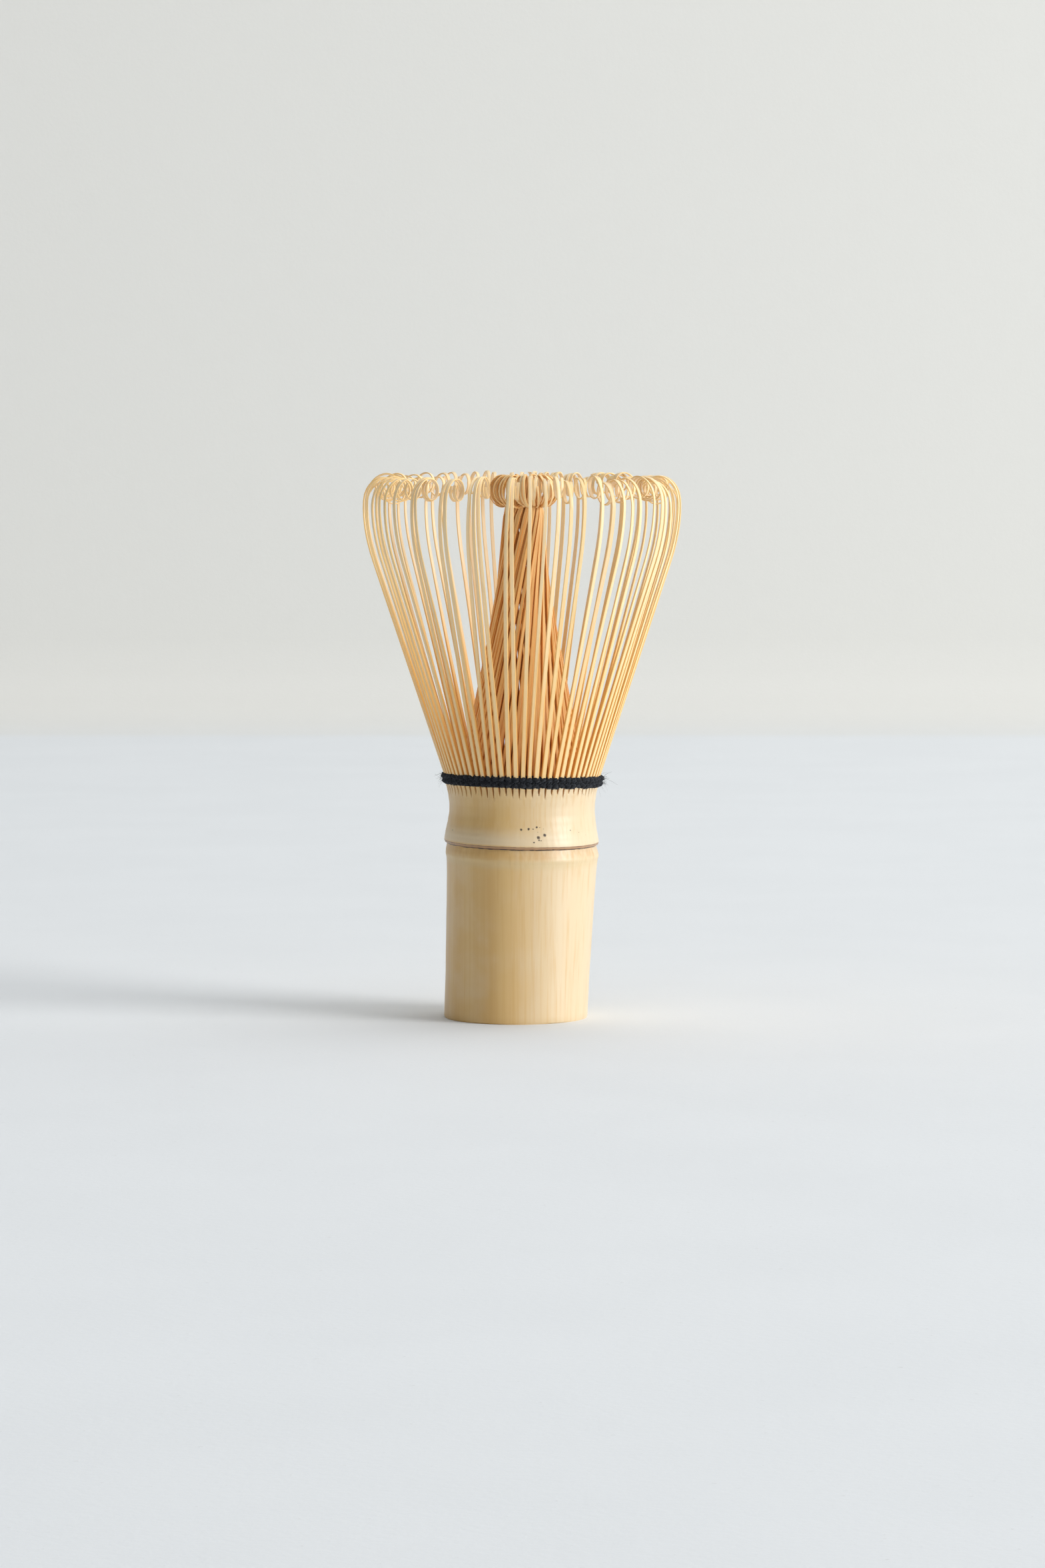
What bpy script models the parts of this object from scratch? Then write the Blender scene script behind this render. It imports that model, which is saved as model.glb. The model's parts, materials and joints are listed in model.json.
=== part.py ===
# Bamboo tea whisk, standing on its handle. The handle is a length of culm with a node near its top. Above the
# node the culm's wall is split into splints. Their outer layer is a ring of tines that bulge out and curl in at
# the tips, their inner layer leans together into a twisted bundle, and a thread woven between the two layers
# holds them apart. Metres, +Z up. The origin is on the table, under the middle of the tines.

from math import cos, pi, radians, sin

import bmesh
import bpy
from mathutils import Matrix, Vector

MM = 0.001

# Splitting of the culm: 18 splints, each cut into 4 outer and 4 inner tines, the first of them at the front.
SPLINTS = 18
TINES_PER_SPLINT = 4
TINE_STEP = 2 * pi / (SPLINTS * TINES_PER_SPLINT)
FRONT = -pi / 2

# Handle: its outer face up to the collar, then the cup above the node, and the hollow below it.
NODE_HEIGHT = 33.0 * MM
BASE_LEAN = 1.1 * MM
HANDLE_SIDES = 28
HANDLE_OUTSIDE = (
    (13.6, 0.0), (13.8, 0.3), (13.8, 8.0), (14.1, 21.0), (14.35, 29.7), (14.66, 31.6), (14.45, 33.6),
    (14.70, 34.4), (14.35, 36.7), (13.95, 39.8), (14.05, 42.0),
)
HANDLE_CUP = ((11.3, 42.0), (11.3, 36.0), (10.3, 34.8), (0.0, 34.4))
HANDLE_HOLLOW = ((0.0, 31.6), (9.6, 31.2), (10.25, 29.5), (10.25, 0.0))

# Splint roots: radii of the inner and outer face, and height, at their lower and upper ends.
OUTER_ROOT = ((13.05, 14.10, 42.3), (13.30, 14.35, 43.6))
INNER_ROOT = ((11.50, 12.50, 42.3), (11.50, 12.50, 43.6))

# Tines: legs of a flat strip as (length, turn in degrees, steps). A positive turn bends away from the axis.
# Width and thickness run evenly from the root to the tip.
OUTER_WIDTHS = (0.86, 0.66)
OUTER_THICKNESSES = (1.00, 0.30)
INNER_WIDTHS = (0.76, 0.34)
INNER_THICKNESSES = (0.95, 0.25)
INNER_SWIRL = radians(42)
BUNDLE_SLOPE = {"even": 8.3, "odd": 9.4}

# Thread: two courses outside the outer tines and one between the layers, as (ring radius, height).
THREAD_RADIUS = 0.36
THREAD_TILT = radians(1.5)
THREAD_SIDES = 8
THREAD_STEPS = 32
THREAD_COURSES = {
    "thread_lower_course": (15.22, 45.45),
    "thread_upper_course": (15.53, 46.30),
    "thread_inner_course": (13.12, 45.90),
}

# Each outer splint bends about a line just above the thread, on the skin side.
FLEX_RADIUS = 14.5 * MM
FLEX_HEIGHT = 46.2 * MM


def make_material(name, colour, roughness):
    material = bpy.data.materials.new(name)
    material.use_nodes = True
    shader = material.node_tree.nodes["Principled BSDF"]
    shader.inputs["Base Color"].default_value = (*colour, 1.0)
    shader.inputs["Roughness"].default_value = roughness
    shader.inputs["Metallic"].default_value = 0.0
    return material


def add_piece(name, bm, material, origin=Vector((0, 0, 0))):
    bmesh.ops.translate(bm, verts=bm.verts, vec=-origin)
    bmesh.ops.recalc_face_normals(bm, faces=bm.faces)
    mesh = bpy.data.meshes.new(name)
    bm.to_mesh(mesh)
    bm.free()
    mesh.materials.append(material)
    piece = bpy.data.objects.new(name, mesh)
    piece.location = origin
    bpy.context.collection.objects.link(piece)
    return piece


def shade_round(piece):
    piece.data.shade_smooth()
    piece.data.set_sharp_from_angle(angle=radians(35))


def at_azimuth(radius, azimuth, height):
    return Vector((radius * cos(azimuth), radius * sin(azimuth), height))


def add_handle(material):
    bm = bmesh.new()
    outline = HANDLE_HOLLOW + HANDLE_OUTSIDE + HANDLE_CUP
    points = [bm.verts.new((radius * MM, 0, height * MM)) for radius, height in outline]
    sides = [bm.edges.new(pair) for pair in zip(points, points[1:])]
    bmesh.ops.spin(
        bm, geom=points + sides, cent=(0, 0, 0), axis=(0, 0, 1), angle=2 * pi, steps=HANDLE_SIDES, use_merge=True
    )
    bmesh.ops.remove_doubles(bm, verts=bm.verts, dist=0.01 * MM)
    for vert in bm.verts:
        vert.co.x -= BASE_LEAN * max(0, 1 - vert.co.z / NODE_HEIGHT)
    shade_round(add_piece("handle", bm, material))


def walk_strip(radius, height, legs):
    """Radius, height, heading from upright and share of the length at the end of each step along a bent strip."""
    heading = 0.0
    walked = 0.0
    total = sum(length for length, _, _ in legs)
    stations = []
    for length, turn, steps in legs:
        reach = length / steps
        bend = radians(turn) / steps
        for _ in range(steps):
            chord = reach * (sin(bend / 2) / (bend / 2) if bend else 1)
            radius += chord * sin(heading + bend / 2)
            height += chord * cos(heading + bend / 2)
            heading += bend
            walked += reach
            stations.append((radius, height, heading, walked / total))
    return stations


def curl(radius, turn, steps):
    return (radius * radians(abs(turn)), turn, steps)


def outer_tine_legs():
    root_bend = (2.45, 18.4, 2)
    straight = (45.3, 0, 2)
    shoulder = (curl(38, -10, 1), curl(24, -11, 1))
    tip = (curl(6.0, -40, 1), curl(3.6, -50, 1), curl(2.4, -90, 2), curl(2.05, -110, 3))
    return (root_bend, straight, *shoulder, *tip)


def inner_tine_legs(place_in_splint):
    """Tines take turns: even ones end in a low loop round the bundle's neck, odd ones in a loop above it."""
    if place_in_splint % 2 == 0:
        slope, length, loop = BUNDLE_SLOPE["even"], 50.6, curl(0.95, 225, 4)
    else:
        slope, length, loop = BUNDLE_SLOPE["odd"], 55.6, curl(1.15, 225, 4)
    return ((2.6, -slope, 1), (length, 0, 2), loop)


def root_block(root, half_angle, azimuths):
    """A curved block with one cell under each tine and one across each slit, and its tine cells' top faces."""
    bm = bmesh.new()
    edges_of_cells = [azimuth + side * half_angle for azimuth in azimuths for side in (-1, 1)]
    (inner_low, outer_low, low), (inner_high, outer_high, high) = root
    rows = [
        [bm.verts.new(at_azimuth(radius, azimuth, low)) for azimuth in edges_of_cells]
        for radius in (inner_low, outer_low)
    ]
    strip = [
        bm.faces.new((rows[0][n], rows[0][n + 1], rows[1][n + 1], rows[1][n])) for n in range(len(rows[0]) - 1)
    ]
    raised = bmesh.ops.extrude_face_region(bm, geom=strip)["geom"]
    for vert in (item for item in raised if isinstance(item, bmesh.types.BMVert)):
        is_outer = vert.co.xy.length > (inner_low + outer_low) / 2
        vert.co = vert.co.xy.normalized().to_3d() * (outer_high if is_outer else inner_high)
        vert.co.z = high
    tops = [item for item in raised if isinstance(item, bmesh.types.BMFace)]
    cells = [nearest_face(tops, at_azimuth((inner_high + outer_high) / 2, azimuth, high)) for azimuth in azimuths]
    return bm, cells


def nearest_face(faces, point):
    return min(faces, key=lambda face: (face.calc_center_median() - point).length)


def grow_tine(bm, face, azimuth, stations, widths, thicknesses, swirl):
    """Draws a root cell's top face out along its stations, one extrusion for each."""
    middle = face.calc_center_median().xy.length
    across = at_azimuth(1, azimuth + pi / 2, 0)
    corners = {
        vert: (1 if vert.co.dot(across) > 0 else -1, vert.co.xy.length < middle) for vert in face.verts
    }
    low, high = stations[0][1], stations[2][1]
    for radius, height, heading, share in stations:
        half_width = (widths[0] + (widths[1] - widths[0]) * share) / 2
        thickness = thicknesses[0] + (thicknesses[1] - thicknesses[0]) * share
        turned = azimuth + swirl * min(1, (height - low) / (high - low))
        face = bmesh.ops.extrude_discrete_faces(bm, faces=[face])["faces"][0]
        corners = {vert: corners[vert_below(vert, corners)] for vert in face.verts}
        for vert, (side, is_inner) in corners.items():
            depth = thickness if is_inner else 0
            place = at_azimuth(radius - depth * cos(heading), turned, height + depth * sin(heading))
            vert.co = place + at_azimuth(side * half_width, turned + pi / 2, 0)


def vert_below(vert, corners):
    return next(edge.other_vert(vert) for edge in vert.link_edges if edge.other_vert(vert) in corners)


def tine_azimuths(splint):
    first = splint * TINES_PER_SPLINT
    return [FRONT + (first + place) * TINE_STEP for place in range(TINES_PER_SPLINT)]


def add_splint(name, splint, root, legs_of_tine, widths, thicknesses, swirl, material, origin):
    azimuths = tine_azimuths(splint)
    start_radius, start_height = root[1][1:]
    bm, cells = root_block(root, widths[0] / 2 / start_radius, azimuths)
    for place, (azimuth, cell) in enumerate(zip(azimuths, cells)):
        stations = walk_strip(start_radius, start_height, legs_of_tine(place))
        grow_tine(bm, cell, azimuth, stations, widths, thicknesses, swirl)
    bmesh.ops.transform(bm, matrix=Matrix.Scale(MM, 4), verts=bm.verts)
    return add_piece(name, bm, material, origin)


def add_outer_splint(splint, material):
    azimuths = tine_azimuths(splint)
    flex_line = at_azimuth(FLEX_RADIUS, sum(azimuths) / len(azimuths), FLEX_HEIGHT)
    add_splint(
        f"outer_tines_{splint + 1:02d}", splint, OUTER_ROOT, lambda place: outer_tine_legs(),
        OUTER_WIDTHS, OUTER_THICKNESSES, 0, material, flex_line,
    )


def add_inner_splint(splint, material):
    add_splint(
        f"inner_tines_{splint + 1:02d}", splint, INNER_ROOT, inner_tine_legs,
        INNER_WIDTHS, INNER_THICKNESSES, INNER_SWIRL, material, Vector((0, 0, 0)),
    )


def add_thread_course(name, ring_radius, height, material):
    bm = bmesh.new()
    upright = Matrix.Translation((ring_radius * MM, 0, height * MM)) @ Matrix.Rotation(pi / 2, 4, "X")
    bmesh.ops.create_circle(bm, segments=THREAD_SIDES, radius=THREAD_RADIUS * MM, matrix=upright)
    bmesh.ops.spin(
        bm, geom=bm.verts[:] + bm.edges[:], cent=(0, 0, 0), axis=(0, 0, 1), angle=2 * pi, steps=THREAD_STEPS,
        use_merge=True,
    )
    for vert in bm.verts:
        vert.co.z -= vert.co.x * THREAD_TILT
    shade_round(add_piece(name, bm, material))


def main():
    for item in list(bpy.data.objects):
        bpy.data.objects.remove(item)
    skin = make_material("bamboo_skin", (0.72, 0.50, 0.26), 0.45)
    flesh = make_material("bamboo_flesh", (0.70, 0.42, 0.18), 0.65)
    cotton = make_material("black_thread", (0.012, 0.013, 0.018), 0.9)
    add_handle(skin)
    for splint in range(SPLINTS):
        add_outer_splint(splint, skin)
        add_inner_splint(splint, flesh)
    for name, (ring_radius, height) in THREAD_COURSES.items():
        add_thread_course(name, ring_radius, height, cotton)


main()
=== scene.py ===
import json
import math
import random

import bmesh
import bpy
from mathutils import Matrix, Vector, noise


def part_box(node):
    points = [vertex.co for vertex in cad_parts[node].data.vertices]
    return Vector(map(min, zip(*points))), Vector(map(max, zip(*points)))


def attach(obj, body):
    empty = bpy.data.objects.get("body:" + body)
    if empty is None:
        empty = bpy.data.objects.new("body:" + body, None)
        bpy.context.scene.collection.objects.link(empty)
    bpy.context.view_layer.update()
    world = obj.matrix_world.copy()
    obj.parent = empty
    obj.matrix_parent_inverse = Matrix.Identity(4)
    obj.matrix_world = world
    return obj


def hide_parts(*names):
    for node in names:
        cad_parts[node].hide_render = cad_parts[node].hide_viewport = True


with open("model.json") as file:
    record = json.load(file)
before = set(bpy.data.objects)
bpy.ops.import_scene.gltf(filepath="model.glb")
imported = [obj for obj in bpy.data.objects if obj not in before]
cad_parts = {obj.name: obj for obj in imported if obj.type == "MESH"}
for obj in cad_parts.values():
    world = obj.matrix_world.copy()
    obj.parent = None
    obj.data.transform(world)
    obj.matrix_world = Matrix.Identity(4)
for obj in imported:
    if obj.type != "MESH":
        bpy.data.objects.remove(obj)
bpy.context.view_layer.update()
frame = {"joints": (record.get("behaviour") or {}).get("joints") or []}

mm = 0.001

# the whisk's own numbers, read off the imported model
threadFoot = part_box("thread_lower_course")[0].z
splints = [joint for joint in frame["joints"] if joint["name"].startswith("splint_flex")]
tinesPerSplint = 4
tineCount = tinesPerSplint * len(splints)
tineStep = 2 * math.pi / tineCount
tineZero = -math.pi / 2
print("frame loaded:", len(splints), "splints,", tineCount, "tines in each layer")


# shader maths
class Wire:
    def __init__(self, tree, socket):
        self.tree = tree
        self.socket = socket

    def combine(self, kind, other):
        made = addNode(self.tree, "ShaderNodeMath", {"operation": kind}, {0: self, 1: other})
        return Wire(self.tree, made.outputs[0])

    def __add__(self, other):
        return self.combine("ADD", other)

    def __sub__(self, other):
        return self.combine("SUBTRACT", other)

    def __mul__(self, other):
        return self.combine("MULTIPLY", other)

    def __rsub__(self, other):
        made = addNode(self.tree, "ShaderNodeMath", {"operation": "SUBTRACT"}, {0: other, 1: self})
        return Wire(self.tree, made.outputs[0])

    __radd__ = __add__
    __rmul__ = __mul__

    def abs(self):
        return self.combine("ABSOLUTE", 0.0)

    def step(self, low, high):
        made = addNode(
            self.tree, "ShaderNodeMapRange", {"interpolation_type": "SMOOTHSTEP"},
            {"Value": self, "From Min": low, "From Max": high},
        )
        return Wire(self.tree, made.outputs["Result"])


def addNode(tree, kind, settings, sockets):
    node = tree.nodes.new(kind)
    for name, value in settings.items():
        setattr(node, name, value)
    for name, value in sockets.items():
        if isinstance(value, Wire):
            tree.links.new(value.socket, node.inputs[name])
        else:
            node.inputs[name].default_value = value
    return node


class Finish:
    def __init__(self, name, constants):
        self.material = bpy.data.materials.new(name)
        self.material.use_nodes = True
        self.tree = self.material.node_tree
        self.shader = self.tree.nodes["Principled BSDF"]
        for socket, value in constants.items():
            self.shader.inputs[socket].default_value = value

    def node(self, kind, settings, sockets, output=0):
        return Wire(self.tree, addNode(self.tree, kind, settings, sockets).outputs[output])

    def place(self):
        return self.node("ShaderNodeTexCoord", {}, {}, "Object")

    def parts(self, vector):
        split = addNode(self.tree, "ShaderNodeSeparateXYZ", {}, {0: vector})
        return [Wire(self.tree, socket) for socket in split.outputs]

    def join(self, x, y, z):
        return self.node("ShaderNodeCombineXYZ", {}, {0: x, 1: y, 2: z})

    def attribute(self, name, output="Fac"):
        return self.node("ShaderNodeAttribute", {"attribute_name": name}, {}, output)

    def noise(self, vector, scale, detail=2.0, roughness=0.5):
        return self.node(
            "ShaderNodeTexNoise", {"noise_dimensions": "3D"},
            {"Vector": vector, "Scale": scale, "Detail": detail, "Roughness": roughness}, "Fac",
        )

    def blend(self, factor, first, second):
        return self.node("ShaderNodeMix", {"data_type": "RGBA"}, {0: factor, 6: first, 7: second}, 2)

    def bump(self, height, distance, strength):
        return self.node("ShaderNodeBump", {}, {"Height": height, "Distance": distance, "Strength": strength})

    def feed(self, **sockets):
        for name, wire in sockets.items():
            self.tree.links.new(wire.socket, self.shader.inputs[name.replace("_", " ")])
        return self.material


def colour(red, green, blue):
    return (red, green, blue, 1.0)


def ease(value, low, high):
    share = min(1.0, max(0.0, (value - low) / (high - low)))
    return share * share * (3 - 2 * share)


def around(radius, azimuth, height):
    return Vector((radius * math.cos(azimuth), radius * math.sin(azimuth), height))


# the culm: lengths in millimetres
culm = {
    "segmentsPerTine": 6,
    # the skin: height, radius
    "outline": (
        (0.0, 13.68), (0.35, 13.86), (8.0, 13.90), (14.0, 14.05), (21.0, 14.20), (27.0, 14.36),
        (29.6, 14.47), (30.6, 14.56), (31.5, 14.72), (32.2, 14.64), (33.0, 14.44), (33.45, 14.34),
        (33.60, 14.36), (33.70, 14.74), (34.12, 14.86), (34.5, 14.84), (35.6, 14.66), (36.7, 14.44),
        (38.2, 14.20), (39.8, 14.00), (41.3, 14.02), (42.9, 14.22), (44.3, 14.50), (45.5, 14.86),
    ),
    "rounding": 0.6,
    # rings on the skin: from, to, how many
    "rows": (
        (0.0, 0.35, 3), (0.35, 30.0, 28), (30.0, 33.3, 16),
        (33.3, 34.6, 18), (34.6, 36.0, 8), (36.0, 45.4, 34),
    ),
    # the rest of the profile: radius, height
    "nodeWall": ((0.0, 31.6), (7.0, 31.5), (9.3, 31.1), (10.1, 30.2)),
    "boreRadius": 10.25,
    "boreTop": 29.0,
    "boreRows": 6,
    "foot": ((10.45, 0.0), (11.4, 0.0), (12.6, 0.0)),
    "rim": ((14.2, 45.45), (13.7, 45.4)),
    "cup": ((12.5, 45.2), (11.3, 45.0), (11.3, 36.0), (10.6, 35.0), (8.0, 34.5), (0.0, 34.4)),
    "fleshRadius": 13.3,
    "footLean": -1.25,
    "leanTop": 31.0,
    "collarShift": -0.14,
    "collarRise": (31, 34),
    "collarFade": (36, 42),
    "nodeRise": (29, 31),
    "nodeFade": (36, 38),
    "skinDepth": 0.05,
    # how far the skin moves, and how fine the pattern is around it and up it
    "ripple": (0.15, 1.6, 12),
    "crimp": (0.03, 22, 400),
    "slitDepth": 0.62,
    "slitPower": 0.8,
    "slitBoldness": (0.7, 1.15),
    "slitLength": (0.7, 2.0),
    "longSlits": 0.07,
    "longSlitScale": (1.6, 2.4),
    "slitReach": 0.308,
    "slitMiddle": 0.02,
    "slitPinch": 0.30,
    "slitDark": 0.35,
    "slitEdgeShade": 0.10,
}


def outlineRadius(height):
    points = culm["outline"]
    for (lowHeight, lowRadius), (highHeight, highRadius) in zip(points, points[1:]):
        if height <= highHeight:
            share = (height - lowHeight) / (highHeight - lowHeight)
            share += (ease(share, 0, 1) - share) * culm["rounding"]
            return lowRadius + (highRadius - lowRadius) * share
    return points[-1][1]


def culmLean(height):
    below = culm["footLean"] * max(0, 1 - height / (culm["leanTop"] * mm))
    collar = ease(height / mm, *culm["collarRise"]) * (1 - ease(height / mm, *culm["collarFade"]))
    return (below + culm["collarShift"] * collar) * mm


# finishes
skinTones = {
    "pale": colour(0.73, 0.485, 0.185),
    "warm": colour(0.66, 0.39, 0.115),
    # a pale waxy tone, also used as painted highlight on the lit side
    "bloomAndHighlight": colour(0.77, 0.62, 0.41),
    # darker orange of the hollow under the node, partly painted shade
    "grooveToneAndShade": colour(0.60, 0.33, 0.10),
    "grey": colour(0.68, 0.53, 0.28),
    "lip": colour(0.37, 0.19, 0.085),
    "scarBrown": colour(0.17, 0.075, 0.03),
    "scarDark": colour(0.045, 0.022, 0.014),
    "slit": colour(0.58, 0.29, 0.09),
    "slitDeepShade": colour(0.34, 0.14, 0.04),
}
node = {"ledge": 34.13 * mm, "crack": 33.62 * mm, "ridge": 31.6 * mm, "tilt": 0.27 / 14.5, "dip": 0.13 / 14.5}
flecks = (
    (-0.5, 37.4, 0.24), (5.2, 37.5, 0.26), (8.6, 37.5, 0.14), (11.5, 37.8, 0.20), (13.8, 37.75, 0.12),
    (16.7, 37.5, 0.10), (12.3, 36.9, 0.12), (12.7, 35.9, 0.34), (17.6, 36.3, 0.32), (13.0, 35.35, 0.20),
    (14.7, 35.25, 0.16), (9.1, 34.95, 0.18), (-2.2, 36.05, 0.09), (40.0, 37.0, 0.12), (57.5, 35.9, 0.12),
    (49.4, 36.5, 0.09), (-66.0, 36.6, 0.12), (128.0, 35.6, 0.26), (133.0, 36.4, 0.20), (-118.0, 37.1, 0.16),
)


def culmSkin():
    finish = Finish("culmSkin", {"Coat Weight": 0.75, "Coat Roughness": 0.48})
    place = finish.place()
    x, y, z = finish.parts(place)
    streaks = finish.noise(finish.join(x * 1500, y * 1500, z * 26), 1.0, 3.0, 0.6)
    bands = finish.noise(finish.join(x * 330, y * 330, z * 6), 1.0, 3.0, 0.6)
    mottle = finish.noise(place, 130.0, 3.0)
    tone = finish.blend(bands.step(0.32, 0.70) * 0.75, skinTones["pale"], skinTones["warm"])
    # painted highlight: the skin is painted paler towards +x and a little to the front, the side the key lamp
    # lights
    paintedHighlightSide = (x + y * -0.3 + bands * (9 * mm)).step(3 * mm, 17 * mm)
    tone = finish.blend(paintedHighlightSide * 0.9, tone, skinTones["bloomAndHighlight"])
    tone = finish.blend(mottle.step(0.40, 0.75) * 0.30, tone, skinTones["bloomAndHighlight"])
    tone = finish.blend(streaks.step(0.45, 0.75) * 0.45, tone, skinTones["warm"])

    level = z + x * node["tilt"] - y * node["dip"]
    wobble = (finish.noise(finish.join(x * 420, y * 420, z * 120), 1.0, 3.0) - 0.5) * (0.30 * mm)
    aboveLedge = level - node["ledge"]
    overNode = aboveLedge.step(0.0, 0.5 * mm) * (1 - aboveLedge.step(1.0 * mm, 4.2 * mm))
    tone = finish.blend(overNode * 0.8, tone, skinTones["bloomAndHighlight"])
    waver = (finish.noise(finish.join(x * 110, y * 110, z * 40), 1.0, 2.0) - 0.5) * (1.1 * mm)
    # the hollow between the node ridge and the crack is painted darker orange in uneven patches: partly the
    # skin's own orange, partly painted shade under the node ledge
    underScar = (level + waver - node["ridge"]).step(-0.4 * mm, 0.7 * mm)
    underScar = underScar * (1 - (level - node["crack"]).step(-0.2 * mm, 0.1 * mm))
    patchyBand = finish.noise(finish.join(x * 900, y * 900, z * 60), 1.0, 2.0).step(0.35, 0.7)
    tone = finish.blend(underScar * (0.10 + patchyBand * 0.40), tone, skinTones["grooveToneAndShade"])
    greyBand = (1 - (level + waver - node["ridge"] + 0.8 * mm).abs().step(0.2 * mm, 1.5 * mm)) * 0.38
    tone = finish.blend(greyBand, tone, skinTones["grey"])

    patches = finish.noise(finish.join(x * 700, y * 700, z * 300), 1.0, 3.0)
    lip = (level + wobble * 0.5 - node["crack"]).step(-0.05 * mm, 0.05 * mm)
    lip = lip * (1 - (level + wobble * 0.3 - node["ledge"]).step(-0.02 * mm, 0.08 * mm))
    tone = finish.blend(lip * 0.85, tone, skinTones["lip"])
    edge = 1 - (level + wobble * 0.3 - node["ledge"]).abs().step(0.03 * mm, 0.09 * mm)
    tone = finish.blend(edge * (0.45 + patches.step(0.4, 0.6) * 0.5), tone, skinTones["scarBrown"])
    crack = 1 - (level + wobble * 0.8 - node["crack"]).abs().step(0.07 * mm, 0.18 * mm)
    tone = finish.blend(crack * 0.85, tone, skinTones["scarBrown"])
    tone = finish.blend(crack * patches.step(0.44, 0.54), tone, skinTones["scarDark"])

    ragged = (finish.noise(place, 2600.0, 2.0) - 0.5) * (0.30 * mm)
    spots = None
    for turn, height, size in flecks:
        centre = around(outlineRadius(height) * mm, tineZero + math.radians(turn), height * mm)
        centre.x += culmLean(height * mm)
        far = finish.node("ShaderNodeVectorMath", {"operation": "DISTANCE"}, {0: place, 1: centre}, "Value")
        spot = 1 - (far + ragged).step(size * 0.6 * mm, size * 1.25 * mm)
        spots = spot if spots is None else spots.combine("MAXIMUM", spot)
    tone = finish.blend(spots * 0.95, tone, skinTones["scarDark"])
    slit = finish.attribute("slit")
    # the slits show the orange flesh, and are painted darker still with depth: painted shade deep in the
    # slits
    tone = finish.blend(slit.step(0.08, 0.45), tone, skinTones["slit"])
    tone = finish.blend(slit.step(0.5, 1.0), tone, skinTones["slitDeepShade"])

    rough = 0.40 + streaks * 0.10 + slit * 0.3
    relief = finish.bump(streaks * 0.5 + bands * 0.6 + patches * crack * -1.5 + lip * -0.8, 0.05 * mm, 0.6)
    return finish.feed(Base_Color=tone, Roughness=rough, Normal=relief)


def culmFlesh():
    finish = Finish("culmFlesh", {"Roughness": 0.7})
    place = finish.place()
    x, y, z = finish.parts(place)
    fibres = finish.noise(finish.join(x * 2200, y * 2200, z * 60), 1.0, 3.0, 0.6)
    tone = finish.blend(fibres.step(0.35, 0.7), colour(0.74, 0.50, 0.24), colour(0.50, 0.28, 0.11))
    soot = finish.noise(place, 260.0, 3.0).step(0.5, 0.8)
    tone = finish.blend(soot * 0.35, tone, colour(0.30, 0.16, 0.07))
    relief = finish.bump(fibres, 0.08 * mm, 0.8)
    return finish.feed(Base_Color=tone, Roughness=0.6 + fibres * 0.2, Normal=relief)


def tineStrip(name, tones, paleFrom, rough):
    skinTone, fleshTone, deepToneAndShade, rootShade, tipToneAndLight = [colour(*tone) for tone in tones]
    # strip: across (-1 to 1), depth (0 skin to 1 inside), length in mm; shade: a number of each tine's own
    finish = Finish(
        name, {"Roughness": rough, "Subsurface Weight": 0.25, "Subsurface Scale": 0.5 * mm,
               "Subsurface Radius": (1.0, 0.95, 0.85)},
    )
    across, depth, along = finish.parts(finish.attribute("strip", "Vector"))
    own = finish.attribute("shade")
    thread = finish.join(across * 3.2 + own * 61.0, depth * 3.0, along * 0.09 + own * 17.0)
    fibres = finish.noise(thread, 1.0, 3.0, 0.6)
    cloud = finish.noise(finish.join(across * 0.4 + own * 31.0, depth * 0.5, along * 0.07), 1.0, 2.0)
    inside = depth.step(0.02, 0.20)
    rim = across.abs().step(0.35, 1.0)
    # towards the tips the strip is painted paler, partly painted light against the shade the curled tips cast
    # on each other
    high = along.step(*paleFrom)
    face = finish.blend(high * (0.55 + inside * 0.45), finish.blend(inside, skinTone, fleshTone), tipToneAndLight)
    # painted shade: the strip is painted deep orange towards its edges and sides, mostly low down where the
    # tines shade each other
    edge = finish.blend(high * 0.8, deepToneAndShade, fleshTone)
    tone = finish.blend(fibres.step(0.35, 0.75) * 0.35 + rim * 0.6, face, edge)
    tone = finish.blend(cloud.step(0.40, 0.75) * (0.30 - high * 0.15), tone, deepToneAndShade)
    tone = finish.blend(own.step(0.60, 1.0) * 0.35, tone, fleshTone)
    # painted shade: the inner faces are painted darker near the root, where they face into the bundle
    tone = finish.blend((1 - along.step(1.5, 18.0)) * inside * 0.75, tone, rootShade)
    relief = finish.bump(fibres + cloud * 0.4, 0.04 * mm, 0.7)
    return finish.feed(Base_Color=tone, Roughness=rough + fibres * 0.15, Normal=relief)


def blackCotton():
    finish = Finish(
        "blackCotton",
        {"Roughness": 0.85, "Specular IOR Level": 0.25, "Sheen Weight": 0.2, "Sheen Roughness": 0.4,
         "Sheen Tint": colour(0.6, 0.68, 0.8)},
    )
    turn, rib, along = finish.parts(finish.attribute("ply", "Vector"))
    strands = finish.node(
        "ShaderNodeTexWave", {"wave_type": "BANDS", "bands_direction": "X"},
        {"Vector": finish.join(turn * 6 + along * 2.2, 0.0, along * 0.3), "Scale": 1.0, "Distortion": 1.2,
         "Detail": 2.0}, "Fac",
    )
    dust = finish.noise(finish.place(), 1800.0, 2.0)
    # the cord is painted lighter along its strands and dust, and as painted highlight where it bulges out
    # over each tine, with painted shade in the gaps between
    strandsAndCrestHighlight = (strands * 0.6 + dust * 0.3) * (0.15 + rib * 1.1)
    tone = finish.blend(strandsAndCrestHighlight, colour(0.003, 0.0035, 0.005), colour(0.034, 0.038, 0.046))
    relief = finish.bump(strands, 0.05 * mm, 0.9)
    return finish.feed(Base_Color=tone, Roughness=0.75 + dust * 0.2, Normal=relief)


skin = culmSkin()
fleshInside = culmFlesh()
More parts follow.
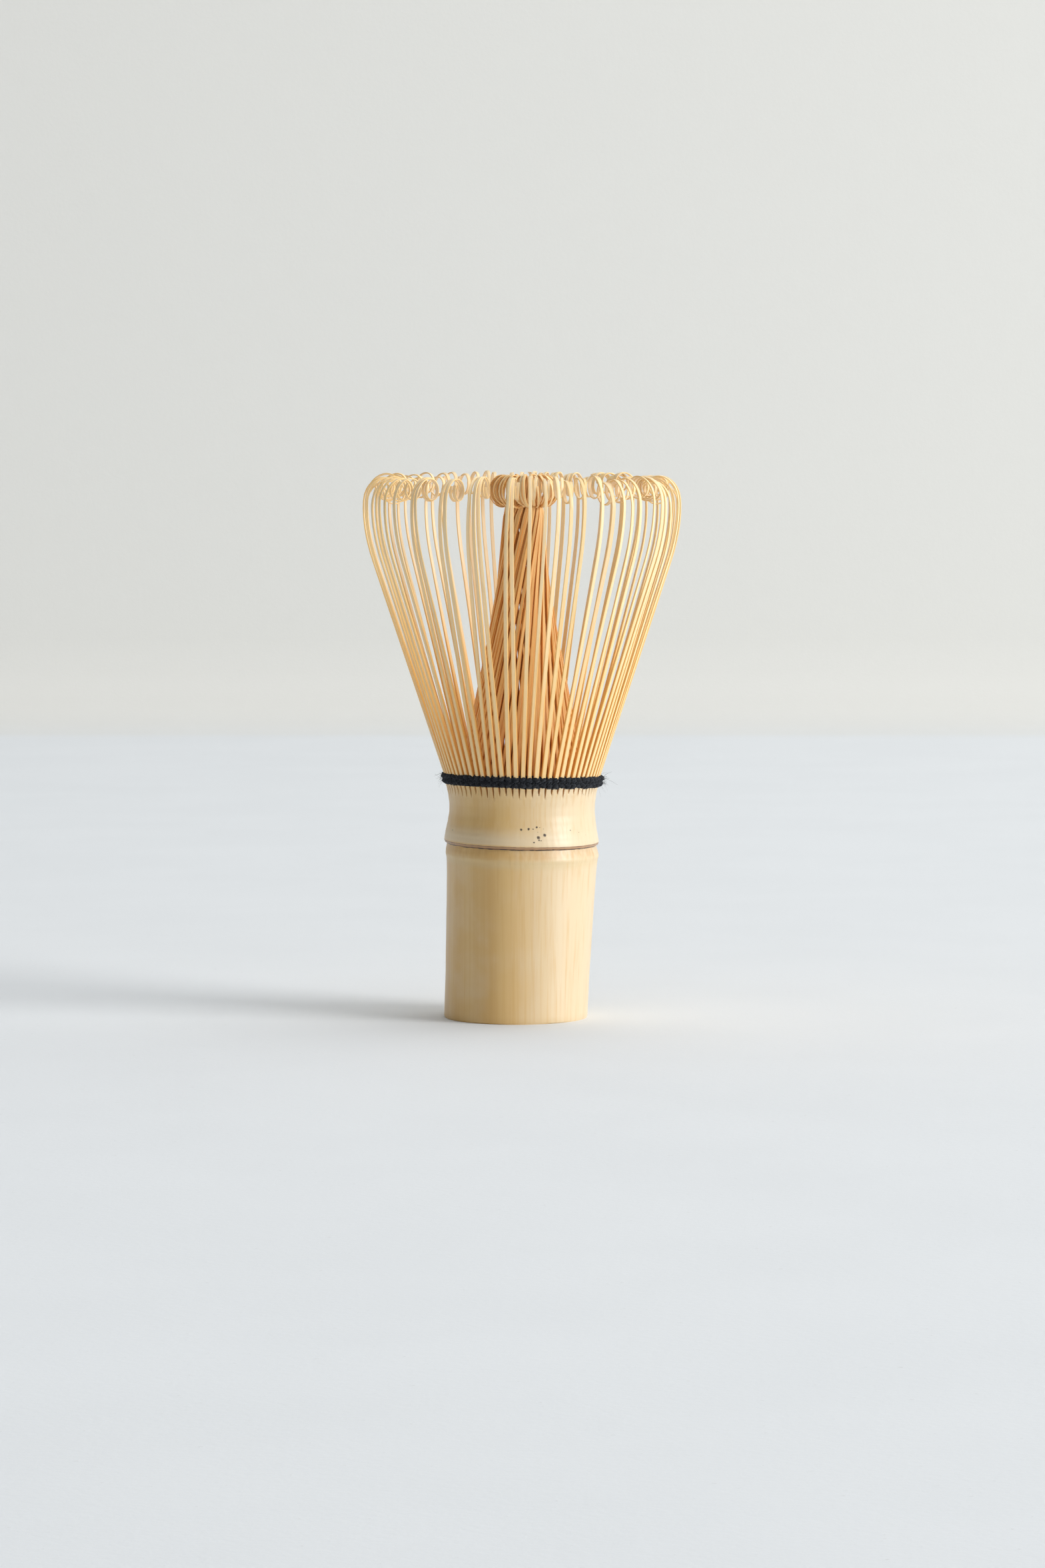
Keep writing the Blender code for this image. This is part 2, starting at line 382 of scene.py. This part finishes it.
# tones: skin, flesh, deep orange (painted shade on the sides), root (painted shade), tips (paler, partly
# painted light)
outerStrip = tineStrip(
    "outerStrip",
    ((0.96, 0.71, 0.38), (0.95, 0.65, 0.25), (0.89, 0.47, 0.105), (0.75, 0.34, 0.065), (0.98, 0.80, 0.61)),
    (12.0, 50.0), 0.38,
)
innerStrip = tineStrip(
    "innerStrip",
    ((0.93, 0.58, 0.23), (0.89, 0.47, 0.13), (0.72, 0.25, 0.03), (0.62, 0.20, 0.025), (0.98, 0.78, 0.45)),
    (46.0, 62.0), 0.45,
)
cotton = blackCotton()
print("finishes made")


# shared mesh helpers
weldDistance = 0.001 * mm


def finishPiece(name, bm, materials, sharp=30):
    bmesh.ops.recalc_face_normals(bm, faces=bm.faces)
    mesh = bpy.data.meshes.new(name)
    bm.to_mesh(mesh)
    bm.free()
    for material in materials:
        mesh.materials.append(material)
    mesh.shade_smooth()
    mesh.set_sharp_from_angle(angle=math.radians(sharp))
    piece = bpy.data.objects.new(name, mesh)
    bpy.context.scene.collection.objects.link(piece)
    return piece


# the culm: handle, node and collar
def culmProfile():
    heights = []
    for low, high, count in culm["rows"]:
        heights += [low + (high - low) * step / count for step in range(count)]
    heights.append(culm["rows"][-1][1])
    outside = [(outlineRadius(height), height) for height in heights]
    rows = culm["boreRows"]
    bore = [(culm["boreRadius"], culm["boreTop"] * (1 - step / rows)) for step in range(rows + 1)]
    return [*culm["nodeWall"], *bore, *culm["foot"], *outside, *culm["rim"], *culm["cup"]]


def slitShape(chance):
    length = chance.uniform(*culm["slitLength"])
    if chance.random() < culm["longSlits"]:
        length *= chance.uniform(*culm["longSlitScale"])
    return length * mm, chance.uniform(*culm["slitBoldness"])


def unevenness(pattern, azimuth, height):
    size, fineAround, fineUp = pattern
    place = Vector((math.cos(azimuth) * fineAround, math.sin(azimuth) * fineAround, height * fineUp))
    return noise.noise(place) * size * mm


def makeCulm():
    bm = bmesh.new()
    slitLayer = bm.verts.layers.float.new("slit")
    points = [bm.verts.new((radius * mm, 0, height * mm)) for radius, height in culmProfile()]
    chain = [bm.edges.new(pair) for pair in zip(points, points[1:])]
    bmesh.ops.spin(
        bm, geom=points + chain, cent=(0, 0, 0), axis=(0, 0, 1), angle=2 * math.pi,
        steps=tineCount * culm["segmentsPerTine"], use_merge=True,
    )
    bmesh.ops.remove_doubles(bm, verts=bm.verts, dist=weldDistance)
    chance = random.Random(11)
    slits = [slitShape(chance) for unused in range(tineCount)]
    for vert in bm.verts:
        radius = vert.co.xy.length
        azimuth = math.atan2(vert.co.y, vert.co.x)
        height = vert.co.z
        outer = (outlineRadius(height / mm) - culm["skinDepth"]) * mm
        if radius > outer and height > 0:
            rise = ease(height / mm, *culm["nodeRise"]) * (1 - ease(height / mm, *culm["nodeFade"]))
            height -= (vert.co.x * node["tilt"] - vert.co.y * node["dip"]) * rise
            radius += unevenness(culm["ripple"], azimuth, height)
            radius += unevenness(culm["crimp"], azimuth, height) * rise
            place = (azimuth - tineZero) / tineStep - 0.5
            gap = round(place)
            offset = (place - gap) * tineStep * radius
            length, boldness = slits[gap % tineCount]
            opened = (height - (threadFoot - length)) / length
            if opened > 0 and abs(offset) < culm["slitReach"] * mm:
                opened = min(1, opened)
                if abs(offset) < culm["slitMiddle"] * mm:
                    depth = culm["slitDepth"] * opened ** culm["slitPower"] * boldness
                    radius -= depth * mm
                    vert[slitLayer] = min(1, depth / culm["slitDark"])
                else:
                    azimuth -= offset * (1 - culm["slitPinch"]) * (1 - opened) / radius
                    vert[slitLayer] = culm["slitEdgeShade"] * opened
        vert.co = around(radius, azimuth, height) + Vector((culmLean(height), 0, 0))
    for face in bm.faces:
        middle = face.calc_center_median()
        inside = (middle.xy - Vector((culmLean(middle.z), 0))).length < culm["fleshRadius"] * mm
        face.material_index = 1 if inside else 0
    return finishPiece("culm", bm, [skin, fleshInside], 50)


culmPiece = makeCulm()
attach(culmPiece, "culm")
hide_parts("handle")
print("culm made:", len(culmPiece.data.polygons), "faces")


# tines
def stripFrame(points, number, level):
    ahead = points[min(number + 1, len(points) - 1)]
    behind = points[max(number - 1, 0)]
    along = (ahead - behind).normalized()
    across = (level - along * level.dot(along)).normalized()
    return across, along.cross(across)


# a strip's section: across, depth
stripSection = (
    (-1.0, 0.16), (-0.80, 0.0), (0.80, 0.0), (1.0, 0.16),
    (1.0, 0.84), (0.82, 1.0), (-0.82, 1.0), (-1.0, 0.84),
)


def growStrip(bm, layers, points, levels, widths, thicknesses, rolls, own):
    # draws a strip's section out along its points, with one extrusion for each of them
    stripLayer, shadeLayer = layers
    corners = None
    face = None
    walked = 0.0
    for number, point in enumerate(points):
        across, inward = stripFrame(points, number, levels[number])
        if rolls[number]:
            turn = Matrix.Rotation(rolls[number], 3, across.cross(inward))
            across, inward = turn @ across, turn @ inward
        if number:
            walked += (point - points[number - 1]).length / mm
            face = bmesh.ops.extrude_discrete_faces(bm, faces=[face])["faces"][0]
            corners = {vert: corners[belowVert(vert, corners)] for vert in face.verts}
        else:
            verts = [bm.verts.new(point) for unused in stripSection]
            face = bm.faces.new(verts)
            base = bm.faces.new([bm.verts.new(point) for unused in stripSection])
            corners = dict(zip(verts, stripSection))
        for vert, (side, depth) in corners.items():
            vert.co = point + across * (side * widths[number] / 2) + inward * (depth * thicknesses[number])
            vert[stripLayer] = Vector((side, depth, walked))
            vert[shadeLayer] = own
        if not number:
            for twin, vert in zip(base.verts, face.verts):
                twin.co = vert.co
                twin[stripLayer] = vert[stripLayer]
                twin[shadeLayer] = own


def belowVert(vert, corners):
    return next(edge.other_vert(vert) for edge in vert.link_edges if edge.other_vert(vert) in corners)


def newStripMesh():
    bm = bmesh.new()
    return bm, (bm.verts.layers.float_vector.new("strip"), bm.verts.layers.float.new("shade"))


# lengths in millimetres, angles in degrees; spreads are of random draws
outerTine = {
    "rootRadius": 14.62,
    "rootHeight": 44.9,
    "rootHeading": 4.0,
    "azimuthSpread": 0.12,
    "kneeSteps": 3,
    "kneeStep": 0.45,
    "splay": 18.3,
    "splaySpread": 0.25,
    "straight": 44.45,
    "straightSteps": 12,
    "heightSpread": 0.22,
    "topTilt": 0.08,
    "sideDrop": 0.52,
    "bendRadii": (40.0, 20.5),
    "bendStep": 2.5,
    "curlStart": -2.0,
    "curlRadii": (5.6, 2.08),
    "curlSpread": 0.05,
    "curlStep": 12,
    "curlSettle": 110,
    "tightenFrom": 300,
    "tighten": 0.16,
    "curlTurnLeft": (350, 420),
    "curlTurnRight": (440, 600),
    "width": ((0, 0.88), (12, 0.82), (30, 0.76), (48, 0.72), (62, 0.65), (85, 0.54)),
    "thickness": ((0, 1.0), (9, 0.62), (24, 0.42), (42, 0.30), (58, 0.25), (85, 0.20)),
    "bold": (0.90, 1.10),
    "thick": (0.88, 1.12),
    "rollSpread": 9,
    "rollOver": (5, 40),
    "bowSpread": 0.15,
    # the curl drifts sideways by this much each 13 mm, from 6 mm into it
    "drift": (0.75, 1.15),
    "driftFrom": 6,
    "driftOver": 13,
    "wander": 0.45,
    "frontWander": 0.25,
    "leanPower": 1.25,
    # how far the tops of the tines about the front lean sideways, from 12 places left of it to 12 right
    "leans": (
        -1.2, -1.9, -1.7, 0.8, -1.0, 2.3, 1.0, 3.3, 1.5, -0.5, 2.7, 0.6,
        1.5, 1.6, 1.7, 1.1, 1.3, 2.1, 2.4, 2.4, 1.4, 1.1, 2.4, 1.8, 1.2,
    ),
}


def readTable(table, place):
    for (lowPlace, lowValue), (highPlace, highValue) in zip(table, table[1:]):
        if place <= highPlace:
            return lowValue + (highValue - lowValue) * (place - lowPlace) / (highPlace - lowPlace)
    return table[-1][1]


def outerPath(azimuth, chance):
    # skin-side points of one outer tine in its own radial plane: radius, height, length walked
    bend, curl = outerTine["bendRadii"], outerTine["curlRadii"]
    size = chance.gauss(1.0, outerTine["curlSpread"])
    straight = outerTine["straight"] + chance.gauss(0, outerTine["heightSpread"])
    sideShare = math.cos(azimuth)
    straight -= outerTine["topTilt"] * sideShare + outerTine["sideDrop"] * sideShare ** 2
    splay = outerTine["splay"] + chance.gauss(0, outerTine["splaySpread"])
    turn = chance.uniform(*outerTine["curlTurnLeft" if sideShare < 0 else "curlTurnRight"])
    radius, height, heading = outerTine["rootRadius"], outerTine["rootHeight"], outerTine["rootHeading"]
    walked = 0.0
    path = [(radius, height, 0.0)]

    def advance(length, turnBy):
        nonlocal radius, height, heading, walked
        middle = math.radians(heading + turnBy / 2)
        radius += length * math.sin(middle)
        height += length * math.cos(middle)
        heading += turnBy
        walked += length
        path.append((radius, height, walked))

    kneeTurn = (splay - heading) / outerTine["kneeSteps"]
    for unused in range(outerTine["kneeSteps"]):
        advance(outerTine["kneeStep"], kneeTurn)
    for unused in range(outerTine["straightSteps"]):
        advance(straight / outerTine["straightSteps"], 0.0)
    while heading > outerTine["curlStart"]:
        share = (splay - heading) / (splay - outerTine["curlStart"])
        tight = bend[0] + (bend[1] - bend[0]) * share
        advance(tight * math.radians(outerTine["bendStep"]), -outerTine["bendStep"])
    curlFrom = walked
    while heading > -turn:
        share = min(1, (outerTine["curlStart"] - heading) / outerTine["curlSettle"])
        inward = max(0, (-heading - outerTine["tightenFrom"]) / outerTine["tightenFrom"])
        tight = (curl[0] + (curl[1] * size - curl[0]) * share) * (1 - outerTine["tighten"] * inward)
        advance(tight * math.radians(outerTine["curlStep"]), -outerTine["curlStep"])
    return path, curlFrom


def outerTinePoints(number, chance):
    fromFront = (number + tineCount // 2) % tineCount - tineCount // 2
    azimuth = tineZero + number * tineStep + math.radians(chance.gauss(0, outerTine["azimuthSpread"]))
    path, curlFrom = outerPath(azimuth, chance)
    outward = around(1, azimuth, 0)
    sideways = around(1, azimuth + math.pi / 2, 0)
    reach = len(outerTine["leans"]) // 2
    lean = chance.gauss(0, outerTine["wander"])
    if abs(fromFront) <= reach:
        lean = lean * outerTine["frontWander"] + outerTine["leans"][fromFront + reach]
    bow = chance.gauss(0, outerTine["bowSpread"])
    drift = chance.uniform(*outerTine["drift"])
    points = []
    for radius, height, walked in path:
        climb = min(1, walked / curlFrom)
        curled = max(0, walked - curlFrom - outerTine["driftFrom"]) / outerTine["driftOver"]
        side = lean * climb ** outerTine["leanPower"] + bow * math.sin(math.pi * climb) + drift * curled
        points.append(outward * (radius * mm) + sideways * (side * mm) + Vector((0, 0, height * mm)))
    return points, sideways, [walked for radius, height, walked in path]


def makeOuterSplint(splint, chance):
    bm, layers = newStripMesh()
    for place in range(tinesPerSplint):
        points, sideways, lengths = outerTinePoints(splint * tinesPerSplint + place, chance)
        bold = chance.uniform(*outerTine["bold"])
        thick = chance.uniform(*outerTine["thick"])
        roll = math.radians(chance.gauss(0, outerTine["rollSpread"]))
        widths = [readTable(outerTine["width"], length) * bold * mm for length in lengths]
        thicknesses = [readTable(outerTine["thickness"], length) * thick * mm for length in lengths]
        rolls = [roll * ease(length, *outerTine["rollOver"]) for length in lengths]
        growStrip(bm, layers, points, [sideways] * len(points), widths, thicknesses, rolls, chance.random())
    bmesh.ops.remove_doubles(bm, verts=bm.verts, dist=weldDistance)
    piece = finishPiece(f"outerTines{splint + 1:02d}", bm, [outerStrip])
    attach(piece, f"outer_splint_{splint + 1:02d}")
    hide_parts(f"outer_tines_{splint + 1:02d}")
    return piece


innerTine = {
    "rootRadius": 12.45,
    "rootHeight": 44.6,
    "kneeInset": 0.10,
    "kneeRise": 1.6,
    "swirl": 68,
    "swirlSpread": 1.6,
    # the bundle parts at this azimuth: the push away from it, and how far round the push is felt
    "parting": (-97, 6, 14),
    "neckRadii": (3.9, 3.2),
    "neckSpread": 0.12,
    "neckHeight": 96.6,
    "neckLean": -12.0,
    "bundleShift": 0.3,
    "straightSteps": 13,
    "bowSpread": 0.10,
    "bowTurn": 0.6,
    # the curl: rising steps, then a turn in three bends, each up to its own heading
    "riseStep": (0.8, 1.2),
    "crown": (102.4, 102.9),
    "pointLimit": 40,
    "curlSpread": 0.05,
    "curlStep": 14,
    "bendRadii": (1.2, 3.0, 1.6),
    "bendUntil": (115, 225),
    "lastTurn": (285, 330),
    "sideSlope": (0.06, 0.05),
    "entrySlope": 0.22,
    "entryLength": 5,
    "levelSteps": 14,
    "bold": (0.88, 1.12),
    "thick": (0.85, 1.15),
    "twist": -22,
    "twistSpread": 8,
    "twistOver": (3, 25),
    "untwistOver": (50, 60),
    "width": ((0, 0.80), (30, 0.66), (52, 0.52), (62, 0.48), (80, 0.40)),
    "thickness": ((0, 0.95), (12, 0.55), (35, 0.32), (55, 0.22), (80, 0.18)),
}


def innerTinePoints(number, chance):
    azimuth = tineZero + number * tineStep
    parting, push, reach = innerTine["parting"]
    end = azimuth + math.radians(innerTine["swirl"] + chance.gauss(0, innerTine["swirlSpread"]))
    off = (math.degrees(end) - parting + 180) % 360 - 180
    end += math.radians(push) * math.copysign(1, off) * math.exp(-abs(off) / reach)
    neck = innerTine["neckRadii"][number % 2] + chance.gauss(0, innerTine["neckSpread"])
    rootRadius, rootHeight = innerTine["rootRadius"], innerTine["rootHeight"]
    start = around(rootRadius, azimuth, rootHeight)
    knee = around(rootRadius - innerTine["kneeInset"], azimuth, rootHeight + innerTine["kneeRise"])
    target = around(neck, end, innerTine["neckHeight"]) + Vector((innerTine["bundleShift"], 0, 0))
    bow = chance.gauss(0, innerTine["bowSpread"])
    points = [start, knee]
    for step in range(1, innerTine["straightSteps"] + 1):
        share = step / innerTine["straightSteps"]
        bowAzimuth = azimuth + math.pi / 2 + innerTine["bowTurn"] * share
        points.append(knee.lerp(target, share) + around(bow * math.sin(math.pi * share), bowAzimuth, 0))
    # the tip curls outwards over the top of the bundle, down its outside and back in underneath
    outward = around(1, end, 0)
    sideways = around(1, end + math.pi / 2, 0)
    size = chance.gauss(1.0, innerTine["curlSpread"])
    heading = innerTine["neckLean"]
    crown = chance.uniform(*innerTine["crown"])
    sideSlope = chance.gauss(*innerTine["sideSlope"])
    point = target.copy()
    swung = 0.0

    def advance(length, turnBy):
        nonlocal point, heading, swung
        middle = math.radians(heading + turnBy / 2)
        slope = sideSlope + innerTine["entrySlope"] * (1 - ease(swung, 0, innerTine["entryLength"]))
        move = outward * math.sin(middle) + Vector((0, 0, math.cos(middle))) + sideways * slope
        point = point + move * length
        heading += turnBy
        swung += length
        points.append(point.copy())

    while point.z < crown and len(points) < innerTine["pointLimit"]:
        advance(*innerTine["riseStep"])
    last = chance.uniform(*innerTine["lastTurn"])
    while heading < last:
        bend = sum(heading >= limit for limit in innerTine["bendUntil"])
        bendStep = innerTine["curlStep"]
        advance(innerTine["bendRadii"][bend] * size * math.radians(bendStep), bendStep)
    rootLevel = around(1, azimuth + math.pi / 2, 0)
    levels = [rootLevel.lerp(sideways, min(1, step / innerTine["levelSteps"])) for step in range(len(points))]
    lengths = [0.0]
    for low, high in zip(points, points[1:]):
        lengths.append(lengths[-1] + (high - low).length)
    return [item * mm for item in points], levels, lengths


def makeInnerSplint(splint, chance):
    bm, layers = newStripMesh()
    for place in range(tinesPerSplint):
        points, levels, lengths = innerTinePoints(splint * tinesPerSplint + place, chance)
        bold = chance.uniform(*innerTine["bold"])
        thick = chance.uniform(*innerTine["thick"])
        roll = math.radians(innerTine["twist"] + chance.gauss(0, innerTine["twistSpread"]))
        widths = [readTable(innerTine["width"], length) * bold * mm for length in lengths]
        thicknesses = [readTable(innerTine["thickness"], length) * thick * mm for length in lengths]
        rolls = [
            roll * ease(length, *innerTine["twistOver"]) * (1 - ease(length, *innerTine["untwistOver"]))
            for length in lengths
        ]
        growStrip(bm, layers, points, levels, widths, thicknesses, rolls, chance.random())
    bmesh.ops.remove_doubles(bm, verts=bm.verts, dist=weldDistance)
    piece = finishPiece(f"innerTines{splint + 1:02d}", bm, [innerStrip])
    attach(piece, "culm")
    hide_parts(f"inner_tines_{splint + 1:02d}")
    return piece


outerChance = random.Random(72)
innerChance = random.Random(27)
for splint in range(len(splints)):
    makeOuterSplint(splint, outerChance)
    makeInnerSplint(splint, innerChance)
print("tines made")


# the woven thread
weave = {
    "plyRadius": 0.39,
    "plyOffset": 0.18,
    "plyRoughness": 0.12,
    "twistPerTine": 1.15,
    "stepsPerTine": 9,
    "plySides": 8,
    "tilt": 0.34 / 15.3,
    "frontLift": 0.45 / 15.3,
    "dip": 1.0,
    "flatDip": 0.15,
    "sag": 0.30,
    "swell": 0.05,
    "climb": 0.04,
}
courses = {
    "thread_upper_course": {"radius": 15.22, "height": 46.46, "lift": 1, "phase": 0.0},
    "thread_lower_course": {"radius": 15.00, "height": 45.42, "lift": -1, "phase": 2.1},
    "thread_inner_course": {"radius": 12.98, "height": 45.95, "lift": 0, "phase": 4.0},
    "threadBetween": {"radius": 14.90, "height": 46.03, "lift": 0, "phase": 1.0},
}


def onBand(radius, azimuth, height):
    point = around(radius * mm, azimuth, height * mm)
    point.z -= point.x * weave["tilt"] + point.y * weave["frontLift"]
    return point


def courseCentre(course, chance):
    # the cord's centre line: out over each tine, in and away from the other course in each gap
    points = []
    swell = [chance.gauss(0, weave["swell"]) for unused in range(tineCount)]
    climb = [chance.gauss(0, weave["climb"]) for unused in range(tineCount)]
    for step in range(tineCount * weave["stepsPerTine"]):
        place = step / weave["stepsPerTine"]
        tine = int(place) % tineCount
        share = place - int(place)
        follow = (tine + 1) % tineCount
        azimuth = tineZero + place * tineStep
        inGap = 0.5 - 0.5 * math.cos(2 * math.pi * place)
        dip = weave["dip"] * inGap if course["lift"] else weave["flatDip"] * (1 - inGap)
        wobble = swell[tine] + (swell[follow] - swell[tine]) * ease(share, 0, 1)
        jump = climb[tine] + (climb[follow] - climb[tine]) * ease(share, 0, 1)
        height = course["height"] + course["lift"] * weave["sag"] * inGap + jump
        points.append(onBand(course["radius"] - dip + wobble, azimuth, height))
    return points


def makeCourse(name, course, chance):
    bm = bmesh.new()
    plyLayer = bm.verts.layers.float_vector.new("ply")
    centre = courseCentre(course, chance)
    count = len(centre)
    up = Vector((0, 0, 1))
    turnsTotal = round(weave["twistPerTine"] * tineCount)
    for ply in range(2):
        rings = []
        walked = 0.0
        for step in range(count):
            along = (centre[(step + 1) % count] - centre[step - 1]).normalized()
            outward = along.cross(up).normalized()
            upward = outward.cross(along)
            twist = 2 * math.pi * (turnsTotal * step / count + ply / 2) + course["phase"]
            rib = 0.5 + 0.5 * math.cos(2 * math.pi * step / weave["stepsPerTine"])
            offset = outward * math.cos(twist) + upward * math.sin(twist)
            middle = centre[step] + offset * (weave["plyOffset"] * mm)
            ring = []
            for side in range(weave["plySides"]):
                angle = 2 * math.pi * side / weave["plySides"] + twist
                reach = weave["plyRadius"] * (1 + weave["plyRoughness"] * chance.uniform(-1, 1)) * mm
                vert = bm.verts.new(middle + (outward * math.cos(angle) + upward * math.sin(angle)) * reach)
                vert[plyLayer] = Vector((side / weave["plySides"], rib, walked))
                ring.append(vert)
            rings.append([bm.edges.new((ring[side - 1], ring[side])) for side in range(weave["plySides"])])
            walked += (centre[(step + 1) % count] - centre[step]).length / mm
        for step in range(count):
            bmesh.ops.bridge_loops(bm, edges=rings[step - 1] + rings[step])
    return finishPiece(name, bm, [cotton], 70)


threadChance = random.Random(5)
for nodeName, course in courses.items():
    cordPiece = makeCourse(nodeName.replace("_", "") + "Cord", course, threadChance)
    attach(cordPiece, "culm")
    if nodeName != "threadBetween":
        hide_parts(nodeName)
print("thread made")


# stray fibres: most are short, a few stand out
hairs = {
    "count": 420,
    "rootRadius": 15.70,
    "rootHeights": (45.3, 46.8),
    "shortShare": 0.85,
    "short": (0.3, 1.0),
    "long": (1.2, 2.6),
    "outward": (0.3, 1),
    "sideSpread": 0.8,
    "rise": (-0.1, 0.6),
    "droopSpread": 0.4,
    "droopDown": (-0.3, 0.5),
    "droop": 0.6,
    "steps": 4,
    "thickness": (0.020, 0.010),
}


def makeHairs():
    bm = bmesh.new()
    bm.verts.layers.float_vector.new("ply")  # the cotton reads it, and it stays at zero here
    chance = random.Random(19)
    thick, thin = hairs["thickness"]
    for unused in range(hairs["count"]):
        azimuth = chance.uniform(-math.pi, math.pi)
        root = onBand(hairs["rootRadius"], azimuth, chance.uniform(*hairs["rootHeights"]))
        outward = around(1, azimuth, 0)
        sideways = around(1, azimuth + math.pi / 2, 0)
        up = Vector((0, 0, 1))
        reach = chance.uniform(*hairs["short" if chance.random() < hairs["shortShare"] else "long"])
        aim = outward * chance.uniform(*hairs["outward"]) + sideways * chance.gauss(0, hairs["sideSpread"])
        aim = (aim + up * chance.gauss(*hairs["rise"])).normalized()
        spread = hairs["droopSpread"]
        droop = Vector((chance.gauss(0, spread), chance.gauss(0, spread), chance.gauss(*hairs["droopDown"])))
        section = [sideways * math.cos(turn) + up * math.sin(turn) for turn in (0, 2.094, 4.188)]
        loops = []
        for step in range(hairs["steps"] + 1):
            share = step / hairs["steps"]
            point = root + (aim * share + droop * share * share * hairs["droop"]) * reach * mm
            wide = (thick + (thin - thick) * share) * mm
            ring = [bm.verts.new(point + corner * wide) for corner in section]
            loops.append([bm.edges.new((ring[side - 1], ring[side])) for side in range(3)])
            if step in (0, hairs["steps"]):
                bm.faces.new(ring)
        for low, high in zip(loops, loops[1:]):
            bmesh.ops.bridge_loops(bm, edges=low + high)
    return finishPiece("threadHairs", bm, [cotton])


hairPiece = makeHairs()
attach(hairPiece, "culm")
print("stray fibres made")


# floor, backdrop, lights, camera
studio = {
    "floorTone": colour(0.80, 0.83, 0.86),
    "floorCloud": colour(0.765, 0.795, 0.825),
    "wallTone": colour(0.765, 0.765, 0.735),
    "halfWidth": 8.0,
    "tableRows": (-8.0, -1.2, -0.4, 0.2),
    "tableEdge": 0.80,
    "edgeBlur": 0.03,
    "sweep": 0.03,
    "sweepTurns": (0, 0.4, 0.8, 1.2, 1.57),
    "wallRows": (0.6, 2.5),
    "key": {"place": (2.80, -1.24, 0.98), "size": (1.5, 1.5), "power": 88.0, "tone": (1.0, 0.985, 0.96)},
    "top": {"place": (0.5, 0.1, 2.6), "size": (2.0, 1.6), "power": 23.0, "tone": (0.97, 0.985, 1.0)},
    "room": 0.295,
    "roomTone": colour(0.97, 0.985, 1.0),
    "cameraPlace": (0.0, -1.10, 0.130),
    "cameraAim": (0.0, 0.0, 0.045),
    "lens": 131.6,
    "sensor": 36.0,
}


def studioFinish():
    finish = Finish("paleStudio", {"Roughness": 0.85})
    place = finish.place()
    x, y, z = finish.parts(place)
    cloud = finish.noise(place, 20.0, 3.0)
    grain = finish.noise(place, 700.0, 3.0, 0.6)
    floorTone = finish.blend(cloud.step(0.3, 0.7) * 0.4, studio["floorTone"], studio["floorCloud"])
    floorTone = finish.blend(grain.step(0.68, 0.74) * 0.25, floorTone, colour(0.5, 0.5, 0.5))
    edge, blur = studio["tableEdge"], studio["edgeBlur"]
    tone = finish.blend((y + z).step(edge - blur, edge + blur), floorTone, studio["wallTone"])
    return finish.feed(Base_Color=tone, Normal=finish.bump(grain + cloud, 0.15 * mm, 0.25))


def makeLamp(name, facts):
    lamp = bpy.data.lights.new(name, "AREA")
    lamp.shape = "RECTANGLE"
    lamp.size, lamp.size_y = facts["size"]
    lamp.energy = facts["power"]
    lamp.color = facts["tone"]
    lampObject = bpy.data.objects.new(name, lamp)
    lampObject.location = facts["place"]
    aim = Vector(studio["cameraAim"]) - lampObject.location
    lampObject.rotation_euler = aim.to_track_quat("-Z", "Y").to_euler()
    bpy.context.scene.collection.objects.link(lampObject)


def makeStudio():
    wide, edge, sweep = studio["halfWidth"], studio["tableEdge"], studio["sweep"]
    bm = bmesh.new()
    line = [(along, 0) for along in studio["tableRows"]]
    line += [(edge + sweep * math.sin(turn), sweep - sweep * math.cos(turn)) for turn in studio["sweepTurns"]]
    line += [(edge + sweep, height) for height in studio["wallRows"]]
    chain = [bm.verts.new((-wide, along, height)) for along, height in line]
    edges = [bm.edges.new(pair) for pair in zip(chain, chain[1:])]
    made = bmesh.ops.extrude_edge_only(bm, edges=edges)["geom"]
    farSide = [item for item in made if isinstance(item, bmesh.types.BMVert)]
    bmesh.ops.translate(bm, verts=farSide, vec=(2 * wide, 0, 0))
    finishPiece("studioSweep", bm, [studioFinish()])
    world = bpy.data.worlds.new("softRoom")
    world.use_nodes = True
    background = world.node_tree.nodes["Background"]
    background.inputs["Color"].default_value = studio["roomTone"]
    background.inputs["Strength"].default_value = studio["room"]
    bpy.context.scene.world = world
    bpy.context.scene.view_settings.view_transform = "Standard"
    makeLamp("keyWindow", studio["key"])
    makeLamp("topSoftbox", studio["top"])


def makeCamera():
    lens = bpy.data.cameras.new("camera")
    lens.lens = studio["lens"]
    lens.sensor_width = studio["sensor"]
    camera = bpy.data.objects.new("camera", lens)
    camera.location = studio["cameraPlace"]
    aim = Vector(studio["cameraAim"]) - camera.location
    camera.rotation_euler = aim.to_track_quat("-Z", "Y").to_euler()
    bpy.context.scene.collection.objects.link(camera)
    bpy.context.scene.camera = camera


makeStudio()
makeCamera()
print("studio made")
